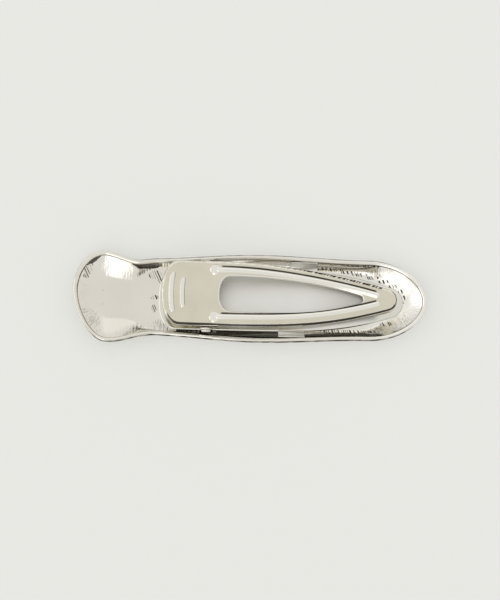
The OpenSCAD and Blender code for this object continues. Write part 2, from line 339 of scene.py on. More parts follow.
def build_shell():
    """The dish, as rings from the outer floor up to the rim, over it, and down to the inner floor."""
    edge, spine = shell_stations(end_steps=70, side_steps=230)
    count = len(edge)
    towards = spine - edge
    towards /= np.linalg.norm(towards, axis=1)[:, None]
    run = wall_run(edge[:, 0])
    foot = RIM_WIDTH + run
    foot_points = edge + towards * foot[:, None]
    partner = np.roll(foot_points[::-1], 1, 0)
    floor_middle = (foot_points + partner) / 2
    outer_height = RIM_HEIGHT - RIM_RADIUS
    inner_depth = RIM_HEIGHT - SHELL_SHEET
    outer_line = rim_outer_line(edge)
    rings = []
    values = {key: [] for key in ("rim", "inside", "inward", "line", "painted_dark_bands")}

    def add(distance, height, rim=0, inside=0, share=0.0, line=0.0):
        """One ring, "distance" in from the edge, then "share" of the way on to the middle line."""
        p = mix(edge + towards * distance[:, None], floor_middle, share)
        rings.append(np.column_stack([p[:, 0], p[:, 1] + middle(p[:, 0]), height + lift(p[:, 0])]))
        depth = distance + share * np.abs(foot_points[:, 1] - floor_middle[:, 1])
        values["rim"].append(np.full(count, rim))
        values["inside"].append(np.full(count, inside))
        values["inward"].append(depth)
        values["line"].append(line + np.zeros(count))
        # painted dark reflection bands on the walls
        values["painted_dark_bands"].append(painted_dark_bands(edge, depth) * inside)

    # outer floor
    for f in np.linspace(1, 0, 14, endpoint=False):
        add(foot, np.zeros(count), share=f)
    # outer wall
    for a in np.linspace(np.pi / 2, 0, 16, endpoint=False):
        distance = RIM_WIDTH - (RIM_WIDTH - RIM_RADIUS) * math.cos(a) + run * (1 - math.cos(a))
        add(distance, np.full(count, outer_height * (1 - math.sin(a))))
    # rolled rim, with a painted shade line on its outer side and a painted dark reflection line on its
    # inner side
    for degrees in np.linspace(270, 0, 46):
        a = math.radians(degrees)
        distance = np.full(count, RIM_RADIUS + RIM_RADIUS * math.cos(a))
        height = np.full(count, RIM_HEIGHT + RIM_RADIUS * math.sin(a))
        line = outer_line * (118 < degrees < 166) + 0.75 * (degrees < 22)
        add(distance, height, rim=1, line=line)
    # inner wall, steep where it is narrow and gentler where it runs far inwards
    gentleness = smooth((run - 2.2) / 2.2)
    for a in np.linspace(0, np.pi / 2, 40)[1:]:
        share = 1 - math.cos(a)
        steep = inner_depth * (1 - math.sin(a))
        gentle = inner_depth * (1 - share) ** 1.5
        height = RIM_HEIGHT - inner_depth + mix(steep, gentle, gentleness)
        # a painted dark reflection line where the inner wall leaves the rim
        line = np.full(count, 0.55 * (share < 0.004))
        add(RIM_WIDTH + run * share, height, inside=1, line=line)
    # inner floor
    for f in np.linspace(0, 1, 26)[1:]:
        add(foot, np.full(count, SHELL_SHEET), inside=1, share=f)

    points = np.concatenate(rings)
    points[:, 0] += START_X
    values = {key: np.concatenate(rows) for key, rows in values.items()}
    # the stamped sheet is slightly uneven, but only ever lower than its plain shape
    uneven = wobble(points, 5.0, 1) * 0.035 + wobble(points, 2.2, 2) * 0.012
    high = np.clip(points[:, 2] / 1.5 - 0.6, 0, 1)
    points[:, 2] -= np.abs(uneven) * high * np.where(values.pop("rim") > 0, 0.5, 1)
    values["along"] = np.tile(arc_lengths(edge), len(rings))
    values["at"] = points[:, 0] - START_X
    # tool marks, and painted contact shadow along the lower jaw's edge
    values["marks_and_edge_shadow"] = tool_marks_and_edge_shadow(points) * values["inside"]
    return weld(make_object("dished_shell", points, loft_faces(len(rings), count), values))


# Places with short dark marks on the inside of the shell: tool marks, except the last nine, which follow
# the lower jaw's edge round its nose and are painted contact shadow broken into marks. Distance from the
# flared end, distance to the left of the middle, radius along, radius across
TOOL_MARKS_AND_EDGE_SHADOW = (
    (4.9, 9.6, 1.1, 0.8),
    (4.4, 8.0, 1.4, 1.3),
    (3.9, 6.2, 1.0, 0.7),
    (25.2, 7.6, 2.2, 1.5),
    (26.9, 6.0, 1.2, 1.0),
    (25.2, 0.4, 1.2, 0.8),
    (25.0, -3.2, 0.9, 1.4),
    (97.5, -6.8, 2.2, 0.8),
    (86.0, -9.4, 10.0, 0.6),
    (93.0, 11.3, 6.5, 0.5),
    (77.8, 10.5, 2.6, 0.4),
    (81.6, 10.1, 2.6, 0.45),
    (85.4, 9.5, 2.6, 0.5),
    (89.2, 8.8, 2.6, 0.55),
    (93.0, 7.9, 2.4, 0.6),
    (96.6, 6.7, 2.0, 0.6),
    (99.6, 5.2, 1.6, 0.6),
    (101.9, 3.4, 0.8, 1.0),
    (103.0, 1.2, 0.5, 1.4),
)
# Stretches of steep wall painted dark, standing in for dark reflections: side (1 is left), from, to,
# length of the tapered ends, width of the band, how dark
DARK_REFLECTION_BANDS = (
    (-1, 31.5, 45.0, 1.2, 2.2, 0.75),
    (-1, 44.0, 66.5, 1.2, 3.0, 0.98),
    (-1, 70.0, 86.0, 1.2, 1.6, 0.94),
    (-1, 76.0, 99.0, 9.0, 1.5, 0.94),
    (1, 17.2, 28.2, 3.0, 1.0, 0.96),
    (1, 2.2, 8.8, 3.0, 0.9, 0.96),
)


def painted_dark_bands(edge, inward):
    """How dark the wall is painted in bands of dark reflection just inside the rim, which narrow towards
    their ends.
    """
    total = np.zeros(len(edge))
    for side, first, last, end, width, dark in DARK_REFLECTION_BANDS:
        u = edge[:, 0]
        taper = smooth((u - first) / end) * smooth((last - u) / end) * (edge[:, 1] * side > 4)
        band = smooth((RIM_WIDTH + width * taper - inward) / 0.5 + 0.5)
        total = np.maximum(total, smooth(taper * 3) * band * dark)
    return total


def tool_marks_and_edge_shadow(points):
    """How strongly each point is marked by the nearest group of tool marks and painted edge shadow."""
    total = np.zeros(len(points))
    for at, across, long, wide in TOOL_MARKS_AND_EDGE_SHADOW:
        r = np.hypot((points[:, 0] - START_X - at) / long, (points[:, 1] - across) / wide)
        total = np.maximum(total, 1 - smooth((r - 0.5) / 0.7))
    return total


# ---------------------------------------------------------------- jaws


def lever_top(u):
    """Height of the lever's top face: the arms curve down from the hinge to the nose."""
    pad = ARM_HEIGHT + PAD_RISE * (np.maximum(TAPER_AT - u, 0) / (TAPER_AT - PAD_AT)) ** 2
    t = np.clip((u - TAPER_AT) / (ARM_END - TAPER_AT), 0, 1)
    arm = NOSE_HEIGHT + (ARM_HEIGHT - NOSE_HEIGHT) * (1 - t**2) ** ARM_CURVE
    return np.where(u < TAPER_AT, pad, arm)


def leaf(start, round_length, half, taper, nose, radius, power, bend, steps):
    """Outline of jaws and window: round wide end, parallel sides, then a taper to a round nose."""
    nose_steps, side_steps, straight_steps, end_steps = steps
    join_u = nose + radius * math.sin(NOSE_TANGENT)
    join_half = radius * math.cos(NOSE_TANGENT)
    a = np.linspace(np.pi / 2, NOSE_TANGENT, nose_steps, endpoint=False)
    tip = np.stack([nose + radius * np.sin(a), radius * np.cos(a)], 1)
    tip[0, 1] = 0
    u = np.linspace(join_u, taper, side_steps, endpoint=False)
    side = np.stack([u, mix(half, join_half, ((u - taper) / (join_u - taper)) ** bend)], 1)
    corner = start + round_length
    u = np.linspace(taper, corner, straight_steps, endpoint=False)
    straight = np.stack([u, np.full_like(u, half)], 1)
    px, py = round_end(round_length, half, power, np.linspace(0, 1, end_steps))
    py[-1] = 0
    end = np.stack([corner - px, py], 1)
    return mirror_half(np.concatenate([tip, side, straight, end]))


def bead_middle(u):
    """Distance of a bead's middle line from the middle of the lever."""
    t = np.clip((u - TAPER_AT) / (BEAD_END - TAPER_AT), 0, 1)
    return mix(BEAD_FIRST, BEAD_LAST, t**BEAD_BEND)


def embossing(u, y):
    """Height of the lever's beads, dimples and grip ribs above the plain sheet."""
    side = np.abs(y)
    clipped = np.clip(u, TAPER_AT, BEAD_END)
    slope = (bead_middle(clipped + 0.1) - bead_middle(clipped - 0.1)) / 0.2
    across = (side - bead_middle(clipped)) / np.sqrt(1 + slope**2)
    e = np.hypot(across, u - clipped) / (BEAD_WIDTH / 2)
    bead = np.maximum(1 - e**2, 0) ** 1.25 * BEAD_HEIGHT
    d = np.hypot(u - DIMPLE_AT, side - DIMPLE_ACROSS) / DIMPLE_RADIUS
    dimple = (1 - smooth((d - 0.7) / 0.3)) * DIMPLE_HEIGHT
    ribs = np.zeros_like(u)
    for at, half, width in GRIP_RIBS:
        beyond = np.maximum(side - half, 0)
        e = np.hypot(u - at - y**2 / (2 * RIB_CURVE_RADIUS), beyond) / (width / 2)
        ribs = np.maximum(ribs, (1 - smooth((e - 0.5) / 0.5)) * RIB_HEIGHT)
    return np.maximum(np.maximum(bead, dimple), ribs)


def bead_dark_reflection(u, y):
    """A thin dark line along the left side of each bead, where the sheet turns up sharply: a painted
    dark reflection on the bead's flank.
    """
    centre = np.sign(y) * bead_middle(u)
    away = np.abs(y - centre - BEAD_WIDTH / 2 - 0.02)
    ends = smooth((u - TAPER_AT - 0.8) / 0.8) * smooth((BEAD_END - u) / 0.6)
    return (1 - smooth((away - 0.26) / 0.1)) * ends


def flat_plate(name, outline, low, high, edge_radius):
    """A small flat plate with rounded edges: outline in its own plane, thickness from low to high."""
    normals = inward_normals(outline)
    centre = outline.mean(0)
    rings = []
    for f in (1.0, 0.5):
        rings.append((mix(outline + normals * edge_radius, centre, f), low))
    for a in np.linspace(0, np.pi / 2, 5):
        inset = edge_radius * (1 - math.sin(a))
        rings.append((outline + normals * inset, low + edge_radius * (1 - math.cos(a))))
    for a in np.linspace(np.pi / 2, 0, 5):
        inset = edge_radius * (1 - math.sin(a))
        rings.append((outline + normals * inset, high - edge_radius * (1 - math.cos(a))))
    for f in (0.5, 1.0):
        rings.append((mix(outline + normals * edge_radius, centre, f), high))
    points = np.concatenate([np.column_stack([p, np.full(len(p), h)]) for p, h in rings])
    piece = make_object(name, points, loft_faces(len(rings), len(outline)))
    return weld(piece, 1e-6)


def ear(name, y, root_half, root_height):
    """A hinge ear: a flat eye round the pin on a stem that widens down or up to its root."""
    drop = root_height - HINGE_Z
    away = 1 if drop > 0 else -1
    round_side = np.radians(np.linspace(0, -180 * away, 25))
    eye = np.stack([EAR_RADIUS * np.cos(round_side), EAR_RADIUS * np.sin(round_side)], 1)
    t = np.linspace(0, 1, 10)[1:, None]
    left = mix(np.array([-EAR_RADIUS, 0]), np.array([-root_half, drop]), t)
    right = mix(np.array([root_half, drop]), np.array([EAR_RADIUS, 0]), t)[:-1]
    top = mix(np.array([-root_half, drop]), np.array([root_half, drop]), t)
    outline = np.concatenate([eye, left, top, right])
    if away > 0:
        outline = outline[::-1]
    piece = flat_plate(name, outline, y - EAR_HALF_SHEET, y + EAR_HALF_SHEET, EAR_EDGE_RADIUS)
    co = np.array([v.co for v in piece.data.vertices]) / MM
    placed = np.stack([co[:, 0] + HINGE_X, co[:, 2], co[:, 1] + HINGE_Z], 1) * MM
    piece.data.vertices.foreach_set("co", placed.ravel())
    piece.data.flip_normals()
    return piece


def shoulder_lines(outline, inward):
    """Strength of the shoulder's painted dark lines, which stand in for dark reflections and shade:
    along the near side, round the nose, and by the pad.
    """
    u = outline[:, 0]
    near = smooth((inward[:, 1] - 0.35) * 4)
    side = near * smooth((u - 29) / 3)
    nose = smooth((inward[:, 0] + 0.45) * -4) * smooth(u - NOSE_AT - 0.5)
    pad = near * smooth((49 - u) / 8)
    return side, nose, pad


def build_lever():
    """The upper jaw: a plate of closed rings between the window and the outline, and two ears."""
    steps = (28, 230, 60, 46)
    outline = leaf(
        start=PAD_AT, round_length=6, half=PAD_HALF, taper=TAPER_AT,
        nose=NOSE_AT, radius=NOSE_RADIUS, power=2.3, bend=2.3, steps=steps,
    )
    window = leaf(
        start=45.6, round_length=3.8, half=5.5, taper=49.7,
        nose=NOSE_AT - 8.3, radius=1.2, power=2.3, bend=2.8, steps=steps,
    )
    inward = inward_normals(outline)
    outward = -inward_normals(window)
    count = len(outline)
    shoulder = 0.9
    lip_radius = 0.5
    lip_depth = 1.15
    flange_sheet = 0.5
    nose_gap = 0.18
    nose = smooth((outline[:, 0] - (NOSE_AT + 0.6)) / 1.6)
    flange = mix(FLANGE_DEPTH, lever_top(outline[:, 0]) - JAW_TOP - nose_gap, nose)
    # painted shade on the left shoulder, broken into a row of short dashes which grow longer towards the
    # nose
    row = smooth((outline[:, 0] - 58) / 14) * (outline[:, 1] > 0) * (outline[:, 0] < NOSE_AT - 1)
    growth = mix(0.35, 1.0, smooth((outline[:, 0] - 66) / 28))
    side_line, nose_line, pad_line = shoulder_lines(outline, inward)
    rings = []
    values = {key: [] for key in ("edge", "dash", "raised", "line")}

    def add(p, drop, raise_by=0.0, edge=0.0, dash=0.0, line=0.0, bright=0.0):
        """One ring "drop" below the top face, lifted by "raise_by" of the embossing."""
        u, y = p[:, 0], p[:, 1]
        embossed = raise_by * embossing(u, y)
        rings.append(np.column_stack([u + START_X, y + PLATE_Y, lever_top(u) - drop + embossed]))
        values["edge"].append(np.full(count, edge))
        values["dash"].append(row * smooth((dash - 1 + growth * 0.8) * 4))
        # the beads, dimples, ribs and the window's upper lip carry a painted highlight tone
        values["raised"].append(np.maximum(embossed / BEAD_HEIGHT, bright))
        # painted dark reflection lines along the beads' left flanks
        values["line"].append(line + (raise_by + bright > 0) * bead_dark_reflection(u, y))

    top_start = window + outward * lip_radius
    top_end = outline + inward * shoulder
    under_start = window + outward * (flange_sheet + 0.25)
    under_end = outline + inward * (flange_sheet + 0.3)
    # the window's lower lip, then the underside out to the flange
    for a in np.linspace(0, np.pi, 7):
        drop = lip_depth - 0.2 + 0.2 * math.sin(a)
        add(window + outward * (flange_sheet / 2 * (1 - math.cos(a))), drop, edge=0.5)
    add(window + outward * flange_sheet, JAW_SHEET + 0.25)
    for f in np.linspace(0, 1, 34):
        add(mix(under_start, under_end, f), JAW_SHEET, raise_by=0.9)
    # the flange, down its inner side and up its outer side
    add(outline + inward * flange_sheet, JAW_SHEET + 0.3)
    for a in np.linspace(0, np.pi, 7):
        inset = flange_sheet / 2 * (1 + math.cos(a))
        add(outline + inward * inset, flange - 0.2 + 0.2 * math.sin(a), edge=0.5)
    for f in (0.1, 0.3, 0.5, 0.7, 0.9):
        add(outline, mix(flange - 0.2, shoulder, f))
    # the rounded shoulder, then the top face in to the window's upper lip
    for a in np.linspace(np.pi / 2, 0, 14, endpoint=False):
        p = outline + inward * (shoulder * (1 - math.sin(a)))
        # painted dark reflection and shade lines on the shoulder: near side, nose and pad
        line = nose_line * (0.5 < a < 0.85) + side_line * (0.3 < a < 1.05) + pad_line * (0.05 < a < 0.55)
        add(p, shoulder * (1 - math.cos(a)), edge=1, dash=math.sin(2 * a) ** 0.5, line=line)
    for f in np.linspace(0, 1, 130):
        add(mix(top_end, top_start, f), 0, raise_by=1)
    for a in np.linspace(0, np.pi / 2, 8)[1:]:
        inset = lip_radius * (1 - math.sin(a))
        # the window's upper lip gets the painted highlight tone
        add(window + outward * inset, lip_radius * (1 - math.cos(a)), edge=1, bright=0.8)
    # a painted shade line along the window's lower edge, fading in past its wide end
    add(window, 0.8, line=0.5 * smooth((window[:, 0] - 50) / 3))

    values = {key: np.concatenate(rows) for key, rows in values.items()}
    faces = loft_faces(len(rings), count, closed=True)
    plate = make_object("lever_plate", np.concatenate(rings), faces, values)
    plate.data.flip_normals()
    ears = [ear("lever_ear", y, LEVER_EAR_ROOT, ARM_HEIGHT - 0.3) for y in (LEVER_EAR_Y, -LEVER_EAR_Y)]
    return join("jaw_lever_plate", [plate, *ears])


def build_lower_jaw():
    """The flat lower plate with a rounded edge, its two hinge ears and its two side tabs."""
    start = lower_low[0] - START_X
    nose_radius = 4.8
    nose_at = lower_high[0] - START_X - nose_radius
    outline = leaf(
        start=start, round_length=6.5, half=10, taper=56,
        nose=nose_at, radius=nose_radius, power=2.4, bend=2.8, steps=(24, 120, 40, 36),
    )
    inward = inward_normals(outline)
    count = len(outline)
    spine = np.stack([np.clip(outline[:, 0], start + 7, nose_at), np.zeros(count)], 1)
    round_width = 0.75
    round_height = 0.5
    rings = []

    def add(p, z):
        rings.append(np.column_stack([p[:, 0] + START_X, p[:, 1], np.full(count, z)]))

    low = outline + inward * 0.2
    for f in np.linspace(1, 0, 8):
        add(mix(low, spine, f), JAW_FLOOR)
    for a in np.linspace(np.pi / 2, 0, 12):
        p = outline + inward * round_width * (1 - math.sin(a))
        add(p, JAW_TOP - round_height * (1 - math.cos(a)))
    high = outline + inward * round_width
    for f in np.linspace(0, 1, 24)[1:]:
        add(mix(high, spine, f), JAW_TOP)
    points = np.concatenate(rings)
    # the satin floor seen through the lever's window, shaded towards the nose
    at = points[:, 0] - START_X
    inner = np.tile(9.4 - 3.2 * smooth((at[:count] - 70) / 30), len(rings))
    floor = smooth((inner - np.abs(points[:, 1])) / 1.5) * smooth((at - 40) / 4) * smooth((96 - at) / 3)
    shade = floor * np.maximum(smooth((at - 72) / 22), 0.1 * smooth((52 - at) / 7))
    values = {"floor": floor, "shade": shade}
    plate = weld(make_object("lower_plate", points, loft_faces(len(rings), count), values))
    ears = [ear("lower_ear", y, LOWER_EAR_ROOT, JAW_FLOOR) for y in (LOWER_EAR_Y, -LOWER_EAR_Y)]
    tabs = [side_tab(LEFT_TAB_AT, 1), side_tab(RIGHT_TAB_AT, -1)]
    return join("lower_jaw_plate", [plate, *ears, *tabs])


def side_tab(at, side):
    """A flat tab that leans from the lower jaw's edge up to just under the rim."""
    half = 4.1
    thick = 0.2
    root = (8.9, JAW_TOP - 0.22)
    tip = (11.75, 3.95)
    a = np.radians(np.linspace(4, 86, 16))
    middle_line = np.stack([
        root[0] + (tip[0] - root[0]) * np.sin(a) ** 0.8,
        tip[1] - (tip[1] - root[1]) * np.cos(a) ** 0.9,
    ], 1)
    tangent = np.gradient(middle_line, axis=0)
    tangent /= np.linalg.norm(tangent, axis=1)[:, None]
    normal = np.stack([-tangent[:, 1], tangent[:, 0]], 1)
    section = np.concatenate([middle_line + normal * thick, (middle_line - normal * thick)[::-1]])
    rings = []
    for x, shrink in ((-half, 0.75), (-half + 0.08, 1), (half - 0.08, 1), (half, 0.75)):
        p = mix(np.concatenate([middle_line, middle_line[::-1]]), section, shrink)
        rings.append(np.column_stack([np.full(len(p), at + x + START_X), p[:, 0] * side, p[:, 1]]))
    points = np.concatenate(rings)
    count = len(section)
    faces = loft_faces(len(rings), count)
    faces.append(tuple(range(count)))
    faces.append(tuple(range(len(points) - 1, len(points) - 1 - count, -1)))
    return weld(make_object("side_tab", points, faces, {"floor": np.full(len(points), 0.6)}))


# ---------------------------------------------------------------- pin and spring


def build_pin():
    """The pin turned round its axis, with a domed head at each end."""
    sides = 64
    head = (pin_high[2] - pin_low[2]) / 2
    end = pin_high[1]
    head_start = end - PIN_HEAD_THICKNESS
    profile = [(0.0, end)]
    for a in np.linspace(0, np.pi / 2, 12)[1:]:
        profile.append((head * math.sin(a) ** 0.8, end - PIN_HEAD_DOME * (1 - math.cos(a))))
    profile += [(head, head_start + 0.1), (head - 0.1, head_start), (PIN_RADIUS, head_start)]
    half = np.array(profile)
    whole = np.concatenate([half, (half * [1, -1])[::-1]])
    angles = np.linspace(0, 2 * np.pi, sides, endpoint=False)
    rings = [
        np.stack([HINGE_X + r * np.cos(angles), np.full(sides, y), HINGE_Z + r * np.sin(angles)], 1)
        for r, y in whole
    ]
    piece = make_object("hinge_pin_turned", np.concatenate(rings), loft_faces(len(rings), sides))
    return weld(piece, 1e-6)


def tube(name, path, radius, sides=14):
    """A round wire swept along a path, with closed rounded ends."""
    path = np.asarray(path)
    tangent = np.gradient(path, axis=0)
    tangent /= np.linalg.norm(tangent, axis=1)[:, None]
    side = np.cross(tangent, [0, 1, 0])
    side /= np.linalg.norm(side, axis=1)[:, None]
    up = np.cross(tangent, side)
    angles = np.linspace(0, 2 * np.pi, sides, endpoint=False)[:, None]

    def circle(i, share=1.0, beyond=0.0):
        """A ring round point i with "share" of the radius, moved "beyond" radii along the path."""
        offset = radius * share * (np.cos(angles) * side[i] + np.sin(angles) * up[i])
        return path[i] + offset + tangent[i] * radius * beyond

    closing = 0.001 / radius
    rings = [circle(0, closing, -0.6), circle(0, 0.75, -0.4)]
    rings += [circle(i) for i in range(len(path))]
    rings += [circle(-1, 0.75, 0.4), circle(-1, closing, 0.6)]
    piece = make_object(name, np.concatenate(rings), loft_faces(len(rings), sides))
    return weld(piece, 2e-6)


def build_spring():
    """One wire: a leg on the lower jaw, a coil round the pin and a leg under the pad."""
    start = -np.pi / 2 + LOW_LEG_SLOPE
    end = np.pi / 2 - HIGH_LEG_SLOPE + 2 * np.pi * COIL_TURNS
    a = np.linspace(start, end, 34 * COIL_TURNS)
    turned = (a - start) / (2 * np.pi)
    y = COIL_PITCH * (turned - turned[-1] / 2)
    coil = np.stack([COIL_RADIUS * np.cos(a), y, COIL_RADIUS * np.sin(a)], 1)
    t = np.linspace(1, 0, 24, endpoint=False)[:, None]
    low_way = np.array([-math.cos(LOW_LEG_SLOPE), 0, -math.sin(LOW_LEG_SLOPE)])
    high_way = np.array([-math.cos(HIGH_LEG_SLOPE), 0, math.sin(HIGH_LEG_SLOPE)])
    low_leg = coil[0] + LEG_LENGTH * t * low_way
    high_leg = coil[-1] + LEG_LENGTH * t[::-1] * high_way
    path = np.concatenate([low_leg, coil, high_leg]) + [HINGE_X, 0, HINGE_Z]
    return tube("spring_wire", path, WIRE_RADIUS)


# ---------------------------------------------------------------- materials


class Nodes:
    """Short helpers for building one material's node tree."""

    def __init__(self, name):
        self.material = bpy.data.materials.new(name)
        self.material.use_nodes = True
        self.tree = self.material.node_tree
        self.shader = self.tree.nodes["Principled BSDF"]

    def add(self, kind, inputs=None, **settings):
        node = self.tree.nodes.new(kind)
        for key, value in settings.items():
            setattr(node, key, value)
        for key, value in (inputs or {}).items():
            self.put(node, key, value)
        return node

    def put(self, node, key, value):
        if isinstance(value, bpy.types.NodeSocket):
            self.tree.links.new(value, node.inputs[key])
        else:
            node.inputs[key].default_value = value

    def attribute(self, name):
        return self.add("ShaderNodeAttribute", attribute_name=name).outputs["Fac"]

    def math(self, operation, a, b=0.0):
        return self.add("ShaderNodeMath", {0: a, 1: b}, operation=operation).outputs[0]

    def ramp(self, value, low, high, to_low=0.0, to_high=1.0):
        inputs = {"Value": value, "From Min": low, "From Max": high, "To Min": to_low, "To Max": to_high}
        return self.add("ShaderNodeMapRange", inputs, clamp=True).outputs["Result"]

    def noise(self, vector, scale, detail=3.0, roughness=0.5):
        inputs = {"Vector": vector, "Scale": scale, "Detail": detail, "Roughness": roughness}
        return self.add("ShaderNodeTexNoise", inputs).outputs["Fac"]

    def colours(self, factor, a, b):
        """A mix of two colours, each of them a socket or three numbers."""
        node = self.add("ShaderNodeMix", {0: factor}, data_type="RGBA")
        for key, colour in ((6, a), (7, b)):
            fixed = not isinstance(colour, bpy.types.NodeSocket)
            self.put(node, key, (*colour, 1) if fixed else colour)
        return node.outputs[2]

    def bump(self, height, distance, strength, normal=None):
        inputs = {"Height": height, "Distance": distance, "Strength": strength}
        if normal is not None:
            inputs["Normal"] = normal
        return self.add("ShaderNodeBump", inputs).outputs["Normal"]

    def metal(self, colour, roughness, normal):
        """Finishes the material as bare metal and returns it."""
        self.put(self.shader, "Base Color", colour)
        self.put(self.shader, "Roughness", roughness)
        self.put(self.shader, "Normal", normal)
        self.shader.inputs["Metallic"].default_value = 1.0
        return self.material


def place_vector(nodes, stretch=(1, 1, 1)):
    """The place on the object in metres, stretched."""
    coordinates = nodes.add("ShaderNodeTexCoord").outputs["Object"]
    return nodes.add("ShaderNodeMapping", {"Vector": coordinates, "Scale": stretch}).outputs["Vector"]


def slanted_noise(n, x_share, y_share, scale):
    """Noise that changes only along one slanted direction, for rows of short parallel marks."""
    millimetres = place_vector(n, (1 / MM, 1 / MM, 1 / MM))
    split = n.add("ShaderNodeSeparateXYZ", {"Vector": millimetres}).outputs
    slanted = n.math("ADD", n.math("MULTIPLY", split[0], x_share), n.math("MULTIPLY", split[1], y_share))
    return n.noise(n.add("ShaderNodeCombineXYZ", {"X": slanted}).outputs[0], scale, 1.0)


# Colour of the shell's tool marks and of its painted dark reflections and shade: the wall bands, the
# lines and the contact shadow along the lower jaw's edge
MARKS_AND_PAINTED_DARK = (0.05, 0.045, 0.035)


def shell_material():
    """Bright plating, brushed on the walls, with painted dark reflection bands, painted shade and
    reflection lines, tool marks, painted contact shadow along the lower jaw's edge, and a satin tip.
    """
    n = Nodes("polished_shell_plating")
    along = n.attribute("along")
    inward = n.attribute("inward")
    inside = n.attribute("inside")
    at = n.attribute("at")

    def brushed(along_scale, inward_scale, detail):
        """Noise drawn out into short strokes that run from the rim towards the middle."""
        x = n.math("MULTIPLY", along, along_scale)
        y = n.math("MULTIPLY", inward, inward_scale)
        vector = n.add("ShaderNodeCombineXYZ", {"X": x, "Y": y}).outputs[0]
        return n.noise(vector, 1.0, detail, 0.6)

    strokes = n.ramp(brushed(1.7, 0.25, 2.0), 0.36, 0.64)
    fine = brushed(5.0, 0.7, 2.0)
    body = n.ramp(at, 22, 36, 0.55, 0.7)
    wall = n.math("MULTIPLY", n.ramp(inward, 1.5, 1.9), n.ramp(inward, 8.8, 4.5))
    patch = n.ramp(n.noise(place_vector(n), 140.0, 2.0), 0.4, 0.62, 0.35, 1.0)
    amount = n.math("MULTIPLY", n.math("MULTIPLY", wall, inside), n.math("MULTIPLY", body, patch))
    scratches = n.noise(place_vector(n), 900.0, 3.0)
    normal = n.bump(strokes, 0.0002, n.math("MULTIPLY", amount, 0.8))
    normal = n.bump(fine, 0.00004, n.math("MULTIPLY", amount, 0.5), normal)
    normal = n.bump(scratches, 0.00001, 0.08, normal)

    clouds = n.noise(place_vector(n), 60.0, 3.0)
    tone = n.colours(n.ramp(clouds, 0.35, 0.65), (0.83, 0.81, 0.76), (0.79, 0.765, 0.70))
    tone = n.colours(n.ramp(at, 88, 100), tone, (0.92, 0.905, 0.865))
    # tool marks, and painted contact shadow along the lower jaw's edge, as short slanted strokes
    scratch = n.ramp(slanted_noise(n, 1.0, 0.45, 1.6), 0.5, 0.54)
    marks = n.math("MULTIPLY", scratch, n.ramp(n.attribute("marks_and_edge_shadow"), 0.2, 0.45))
    # painted dark reflection bands just inside the rim, with edges made jagged by the brush strokes
    dark = n.attribute("painted_dark_bands")
    jagged = n.math("MULTIPLY", n.math("SUBTRACT", strokes, 0.5), n.ramp(dark, 0.0, 0.4, 0.0, 0.55))
    bands = n.ramp(n.math("ADD", dark, jagged), 0.4, 0.56)
    marks = n.math("MAXIMUM", marks, n.math("MULTIPLY", bands, 0.93))
    # painted dark reflection and shade lines on the rim and inner wall, broken along their length
    broken = n.ramp(brushed(0.35, 2.0, 3.0), 0.36, 0.6, 0.35, 1.0)
    marks = n.math("MAXIMUM", marks, n.math("MULTIPLY", n.attribute("line"), broken))
    colour = n.colours(marks, tone, MARKS_AND_PAINTED_DARK)

    polish = n.ramp(clouds, 0.3, 0.7, 0.045, 0.085)
    rough = n.math("ADD", polish, n.math("MULTIPLY", amount, 0.05))
    past_rim = n.math("MULTIPLY", inside, n.ramp(inward, 1.6, 2.6))
    satin_tip = n.math("MULTIPLY", n.ramp(at, 88, 97, 0.0, 0.11), past_rim)
    return n.metal(colour, n.math("ADD", rough, satin_tip), normal)


def lever_material():
    """Warm satin plating with a painted highlight tone on the beads, ribs, dimples and the window's
    upper lip, paler on worn edges, and with painted dark lines and a row of painted shade dashes.
    """
    n = Nodes("satin_lever_plating")
    grain = n.noise(place_vector(n, (1, 6, 1)), 500.0, 3.0, 0.6)
    clouds = n.noise(place_vector(n), 90.0, 4.0, 0.55)
    pits = n.noise(place_vector(n), 2600.0, 2.0)
    wear = n.ramp(n.noise(place_vector(n), 700.0, 2.0), 0.4, 0.65)
    worn = n.math("MULTIPLY", n.attribute("edge"), wear)
    # painted shade dashes on the left shoulder, and the painted dark reflection and shade lines
    stripes = n.ramp(slanted_noise(n, 0.8, -0.9, 1.3), 0.44, 0.5)
    dashes = n.math("MULTIPLY", stripes, n.attribute("dash"))
    dark_lines = n.math("MULTIPLY", n.attribute("line"), n.ramp(clouds, 0.3, 0.5, 0.8, 1.0))
    marks = n.math("MAXIMUM", dashes, dark_lines)
    tone = n.colours(n.ramp(clouds, 0.35, 0.65), (0.765, 0.725, 0.62), (0.715, 0.675, 0.57))
    # a painted highlight tone on the beads, dimples, ribs and the window's upper lip
    tone = n.colours(n.ramp(n.attribute("raised"), 0.25, 0.65), tone, (0.87, 0.855, 0.80))
    tone = n.colours(worn, tone, (0.86, 0.84, 0.78))
    colour = n.colours(marks, tone, (0.06, 0.055, 0.045))
    rough = n.math("ADD", n.ramp(clouds, 0.3, 0.7, 0.13, 0.2), n.math("MULTIPLY", worn, -0.05))
    normal = n.bump(grain, 0.00001, 0.12)
    normal = n.bump(pits, 0.000006, 0.1, normal)
    return n.metal(colour, rough, normal)


